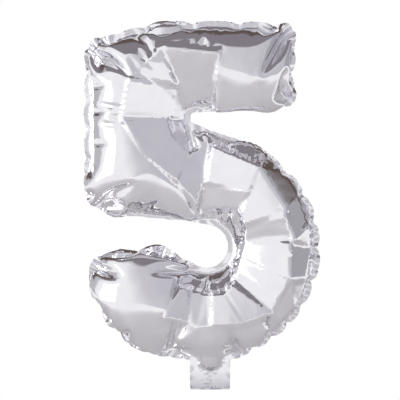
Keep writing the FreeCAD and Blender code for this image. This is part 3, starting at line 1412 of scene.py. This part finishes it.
@dataclass(frozen=True)
class Valve:
    """The flat valve inside the body, in millimetres.

    Args:
        start: height of its lower end above the fold.
        top: height of its upper end.
        row: spacing of its rows.
        half: half its width between the welds.
        columns: columns between them.
        weld: the columns of the right weld.
        apart: how far each film lies off the middle.
    """

    start: float = 0.5
    top: float = 52.0
    row: float = 3.0
    half: float = 10.4
    columns: int = 11
    weld: tuple[float, float, float] = (10.4, 11.2, 12.0)
    apart: float = 0.06


# A piece, its body, its material slot and the CAD nodes that it stands for.
Placed = tuple[bpy.types.Object, Body, str, list[str]]


@dataclass
class Balloon:
    """The inflated figure with its tail.

    Args:
        spacing: edge length of the foil's triangles, in millimetres.
        film_gap: distance between the films in the welded rim, in millimetres.
        sealed: thickness of the sealant, as a share of that distance.
        rounds: smoothing passes after inflating.
        figure: the figure's seam line.
        valve: the valve inside the body.
    """

    spacing: float = 2.3
    film_gap: float = 0.3
    sealed: float = 0.8
    rounds: int = 2
    figure: Figure = field(default_factory=Figure)
    valve: Valve = field(default_factory=Valve)
    at: np.ndarray = field(init=False)
    shell: Inflation = field(init=False)

    def inflate(self) -> None:
        """Cuts, blows up and smooths the foil."""
        cut = FlatCut(self.figure, Plates(), self.spacing)
        steps = Pressure.steps
        self.shell = Inflation(cut, Slack(), Gathers(), Pressure(steps=steps))
        faces = np.vstack([self.shell.front, self.shell.back, self.shell.rim])
        self.at = relax(self.shell.run().astype(float), faces, self.rounds)
        for film in (self.shell.inner_front, self.shell.inner_back):
            self.at[film] = cut.plates.laid(cut.plan[self.shell.inner], self.at[film])
        self.at = Throat().shaped(self.shell, self.at)

    def offsets(self) -> np.ndarray:
        """The way forward from the rim.

        Returns:
            Unit normals at the rim's vertices, and zero elsewhere.
        """
        total = np.zeros((len(self.at), 3))
        a, b, c = (self.at[self.shell.rim[:, k]] for k in range(3))
        normal = np.cross(b - a, c - a)
        for corner in range(3):
            np.add.at(total, self.shell.rim[:, corner], normal)
        return total / np.maximum(np.linalg.norm(total, axis=1), 1e-9)[:, None]

    def film(self, name: str, tail: bool, back: bool, material: bpy.types.Material) -> bpy.types.Object:
        """One foil film with its share of the rim.

        Args:
            name: the piece's name.
            tail: whether it is the tail's part, not the body's.
            back: whether it is the back film.
            material: its finish.

        Returns:
            The piece.
        """
        shell = self.shell
        inside_faces = shell.back if back else shell.front
        rim = shell.rim[:, [0, 2, 1]] if back else shell.rim
        faces = np.vstack([inside_faces, rim])
        low = shell.cut.plan[shell.plan_of][faces][:, :, 1].mean(1) < self.figure.fold
        away = self.film_gap / 2 * (-1 if back else 1)
        at = self.at + self.offsets() * away
        return surface(name, at, faces[low == tail], material)

    def weld(self, name: str, tail: bool, material: bpy.types.Material) -> bpy.types.Object:
        """The sealed layer between the two rims.

        Args:
            name: the piece's name.
            tail: whether it is the tail's part, not the body's.
            material: its finish.

        Returns:
            The piece.
        """
        shell = self.shell
        low = shell.cut.plan[shell.rim][:, :, 1].mean(1) < self.figure.fold
        piece = surface(name, self.at, shell.rim[low == tail], material)
        thick = piece.modifiers.new("sealant", "SOLIDIFY")
        thick.thickness = self.film_gap * self.sealed * MM
        thick.offset = 0.0
        return piece

    def inlet(self, name: str, share: float, material: bpy.types.Material) -> bpy.types.Object:
        """A clear valve film between the tail's two foil films.

        Args:
            name: the piece's name.
            share: how far it lies towards the front one, from 0 to 1.
            material: its finish.

        Returns:
            The piece.
        """
        shell = self.shell
        at = self.at.copy()
        front, back = self.at[shell.inner_front], self.at[shell.inner_back]
        at[shell.inner_front] = front * share + back * (1 - share)
        low = shell.cut.plan[shell.front][:, :, 1].mean(1) < self.figure.fold
        return surface(name, at, shell.front[low], material)

    def strip(
        self, name: str, columns: Sequence[float], side: float, material: bpy.types.Material
    ) -> bpy.types.Object:
        """A flat strip of the valve inside the body, halfway between the foil films.

        Args:
            name: the piece's name.
            columns: the strip's columns across the neck, in millimetres.
            side: how far it lies in front of the middle, in millimetres.
            material: its finish.

        Returns:
            The strip.
        """
        shell = self.shell
        plan = shell.cut.plan[shell.inner]
        middle = (self.at[shell.inner_front] + self.at[shell.inner_back]) / 2
        rows = np.arange(self.figure.fold + self.valve.start, self.valve.top, self.valve.row)
        at = []
        for z in rows:
            for x in columns:
                weight = 1 / (((plan - (x, z)) ** 2).sum(1) + 1.0) ** 3
                at.append((weight @ middle) / weight.sum() - (0, side, 0))
        wide = len(columns)
        faces = [
            (r * wide + c, r * wide + c + 1, (r + 1) * wide + c + 1, (r + 1) * wide + c)
            for r in range(len(rows) - 1)
            for c in range(wide - 1)
        ]
        return surface(name, np.array(at), np.array(faces), material)

    def build(self) -> list[Placed]:
        """Makes every piece.

        Returns:
            For each piece its body, its material slot and the CAD nodes that it stands for.
        """
        self.inflate()
        foil = MetallisedPolyester().make()
        crimped = CrimpedTail().make()
        seal = HeatSeal().make()
        clear = ClearPolyethylene().make()
        body, tail = Body.ENVELOPE, Body.TAIL
        valve = self.valve
        right = valve.weld
        left = tuple(-x for x in reversed(right))
        across = np.linspace(-valve.half, valve.half, valve.columns)
        films, sides = "valve_film", ["valve_side_welds"]
        rows = [
            (self.film("front_foil", False, False, foil), body, "silver_foil", ["front_film"]),
            (self.film("back_foil", False, True, foil), body, "silver_foil", ["back_film"]),
            (self.weld("rim_weld", False, seal), body, "heat_seal", ["perimeter_weld"]),
            (self.strip("valve_front_sheet", across, valve.apart, clear), body, films, ["valve_front_film"]),
            (self.strip("valve_back_sheet", across, -valve.apart, clear), body, films, ["valve_back_film"]),
            (self.strip("valve_left_weld", left, 0.0, clear), body, films, sides),
            (self.strip("valve_right_weld", right, 0.0, clear), body, films, sides),
            (self.film("tail_front_foil", True, False, crimped), tail, "silver_foil", ["tail_front_film"]),
            (self.film("tail_back_foil", True, True, crimped), tail, "silver_foil", ["tail_back_film"]),
            (self.weld("tail_weld", True, seal), tail, "heat_seal", ["tail_side_welds"]),
            (self.inlet("inlet_front_sheet", 0.7, clear), tail, films, ["inlet_front_film"]),
            (self.inlet("inlet_back_sheet", 0.3, clear), tail, films, ["inlet_back_film"]),
        ]
        return rows


def place_on_body(rows: list[Placed]) -> None:
    """Joins each envelope piece to its body, bakes each tail piece where it stands and hides what it stands
    for.

    Args:
        rows: the pieces.
    """
    for piece, body, slot, nodes in rows:
        if body is Body.TAIL:
            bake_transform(piece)
        else:
            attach(piece, body.value)
        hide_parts(*nodes)
        log.info("%s on %s", piece.name, body.value)


# ---------------------------------------------------------------- stage


class Axis(Enum):
    """Which part of a direction from the object is meant."""

    RIGHT = 0
    BACK = 1
    UP = 2


@dataclass(frozen=True)
class Edge:
    """A soft edge of a patch.

    Args:
        axis: the part of the direction that it looks at.
        start: where the patch starts to show.
        whole: where it hides what is below it.
    """

    axis: Axis
    start: float
    whole: float


@dataclass(frozen=True)
class Patch:
    """An area of the studio round the object, laid over the ones before it.

    Args:
        colour: its colour.
        edges: its edges; it shows where all of them let it.
    """

    colour: str
    edges: tuple[Edge, ...]


@dataclass(frozen=True)
class Stage:
    """Plain pale floor, soft studio light and the camera.

    Args:
        floor_drop: how far the floor lies below the body, in metres.
        floor_size: its width, in metres.
        floor_pale: its colour near the object.
        pool: distances between which it turns to plain white, in metres.
        lens: the camera's focal length, in millimetres.
        distance: from the camera to the object, in metres.
        aim: the point that the camera and the lamps face, in metres.
        ground: the studio's colour under all patches.
        patches: what the foil mirrors.
    """

    floor_drop: float = 0.32
    floor_size: float = 12.0
    floor_pale: str = "#F4F4F4"
    pool: tuple[float, float] = (0.9, 1.8)
    lens: float = 122.0
    distance: float = 1.395
    aim: tuple[float, float, float] = (-0.0103, 0.0, 0.1759)
    ground: str = "#FFFFFF"
    patches: tuple[Patch, ...] = (
        Patch("#D4D2D7", (Edge(Axis.RIGHT, -0.45, 0.12),)),
        Patch("#CBCACF", (Edge(Axis.RIGHT, 0.15, 0.60),)),
        Patch("#C6C6C9", (Edge(Axis.BACK, -0.05, 0.15),)),
        Patch("#ADACB1", (Edge(Axis.RIGHT, 0.62, 0.80), Edge(Axis.BACK, -0.5, -0.2))),
        Patch("#8A848A", (Edge(Axis.UP, 0.75, 0.82),)),
        Patch("#655852", (Edge(Axis.UP, 0.22, 0.36), Edge(Axis.BACK, 0.20, 0.40))),
        Patch("#CBCBCE", (Edge(Axis.UP, -0.30, -0.60),)),
        Patch("#FFFFFF", (Edge(Axis.BACK, 0.93, 0.985),)),
    )

    def floor(self) -> None:
        """A white floor that keeps the object's shadow."""
        bpy.ops.mesh.primitive_plane_add(size=self.floor_size, location=(0, 0, -self.floor_drop))
        plane = bpy.context.object
        plane.name = "floor"
        material = bpy.data.materials.new("white_floor")
        material.use_nodes = True
        tree = material.node_tree
        tree.nodes.clear()
        paint = node(tree, "ShaderNodeBsdfDiffuse", {"Color": linear(self.floor_pale)}, {})
        white = node(tree, "ShaderNodeEmission", {"Color": (1, 1, 1, 1), "Strength": 1.0}, {})
        place = node(tree, "ShaderNodeTexCoord", {}, {}).outputs["Object"]
        away = node(tree, "ShaderNodeVectorMath", {"operation": "LENGTH"}, {0: place})
        far = node(
            tree,
            "ShaderNodeMapRange",
            {"interpolation_type": "SMOOTHSTEP", "From Min": self.pool[0], "From Max": self.pool[1]},
            {"Value": away.outputs["Value"]},
        )
        lit = node(tree, "ShaderNodeMath", {"operation": "MULTIPLY"}, {0: far.outputs[0], 1: self.seen(tree)})
        shown = node(
            tree,
            "ShaderNodeMixShader",
            {},
            {0: lit.outputs[0], 1: paint.outputs[0], 2: white.outputs[0]},
        )
        node(tree, "ShaderNodeOutputMaterial", {}, {"Surface": shown.outputs[0]})
        plane.data.materials.append(material)

    def seen(self, tree: bpy.types.NodeTree) -> bpy.types.NodeSocket:
        """Tells apart the rays that carry what is seen.

        Args:
            tree: the material's tree.

        Returns:
            A socket that is 1 for rays from the camera, a mirror or glass.
        """
        path = node(tree, "ShaderNodeLightPath", {}, {})
        mirror = node(
            tree,
            "ShaderNodeMath",
            {"operation": "MAXIMUM"},
            {0: path.outputs["Is Camera Ray"], 1: path.outputs["Is Glossy Ray"]},
        )
        return node(
            tree,
            "ShaderNodeMath",
            {"operation": "MAXIMUM"},
            {0: mirror.outputs[0], 1: path.outputs["Is Transmission Ray"]},
        ).outputs[0]

    def world(self) -> None:
        """The studio round the object: white behind it, and the room in front."""
        world = bpy.data.worlds.new("studio")
        bpy.context.scene.world = world
        world.use_nodes = True
        tree = world.node_tree
        tree.nodes.clear()
        way = node(tree, "ShaderNodeTexCoord", {}, {}).outputs["Generated"]
        parts = node(tree, "ShaderNodeSeparateXYZ", {}, {"Vector": way})
        below: dict[int, bpy.types.NodeSocket] = {}
        for patch in self.patches:
            masks = [
                node(
                    tree,
                    "ShaderNodeMapRange",
                    {"interpolation_type": "SMOOTHSTEP", "From Min": edge.start, "From Max": edge.whole},
                    {"Value": parts.outputs[edge.axis.value]},
                ).outputs[0]
                for edge in patch.edges
            ]
            mask = masks[0]
            for other in masks[1:]:
                mask = node(tree, "ShaderNodeMath", {"operation": "MULTIPLY"}, {0: mask, 1: other}).outputs[0]
            colours = {6: linear(self.ground), 7: linear(patch.colour)}
            mixed = node(tree, "ShaderNodeMix", {"data_type": "RGBA", **colours}, {0: mask, **below})
            below = {6: mixed.outputs[2]}
        studio = node(tree, "ShaderNodeBackground", {"Strength": 1.0}, {"Color": mixed.outputs[2]})
        white = node(tree, "ShaderNodeBackground", {"Color": (1, 1, 1, 1), "Strength": 1.0}, {})
        path = node(tree, "ShaderNodeLightPath", {}, {})
        shown = node(
            tree,
            "ShaderNodeMixShader",
            {},
            {0: path.outputs["Is Camera Ray"], 1: studio.outputs[0], 2: white.outputs[0]},
        )
        node(tree, "ShaderNodeOutputWorld", {}, {"Surface": shown.outputs[0]})

    def lamp(
        self, name: str, at: tuple[float, float, float], size: float, power: float, mirrored: bool
    ) -> None:
        """Adds a soft box that faces the object.

        Args:
            name: its name.
            at: its place, in metres.
            size: its width, in metres.
            power: its power, in watts.
            mirrored: whether it shows in the foil.
        """
        light = bpy.data.lights.new(name, "AREA")
        light.size = size
        light.energy = power
        box = bpy.data.objects.new(name, light)
        box.location = at
        box.rotation_euler = (Vector(self.aim) - Vector(at)).to_track_quat("-Z", "Y").to_euler()
        box.visible_glossy = mirrored
        bpy.context.scene.collection.objects.link(box)

    def camera(self) -> None:
        """The camera, level and square on to the figure."""
        data = bpy.data.cameras.new("camera")
        data.lens = self.lens
        camera = bpy.data.objects.new("camera", data)
        camera.location = Vector(self.aim) + Vector((0, -self.distance, 0))
        camera.rotation_euler = (math.pi / 2, 0, 0)
        bpy.context.scene.collection.objects.link(camera)
        bpy.context.scene.camera = camera

    def build(self) -> None:
        """Sets the stage."""
        self.floor()
        self.world()
        self.lamp("key_left", (-1.6, -0.9, 0.35), 0.9, 9, True)
        self.lamp("fill_front", (0.9, -1.6, 1.3), 1.2, 14, False)
        self.camera()
        bpy.context.scene.view_settings.view_transform = "Standard"


def main() -> None:
    """Builds the balloon and the stage."""
    logging.basicConfig(level=logging.INFO, format="%(name)s: %(message)s")
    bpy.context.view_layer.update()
    balloon = Balloon()
    place_on_body(balloon.build())
    Stage().build()


if __name__ == "__main__":
    main()
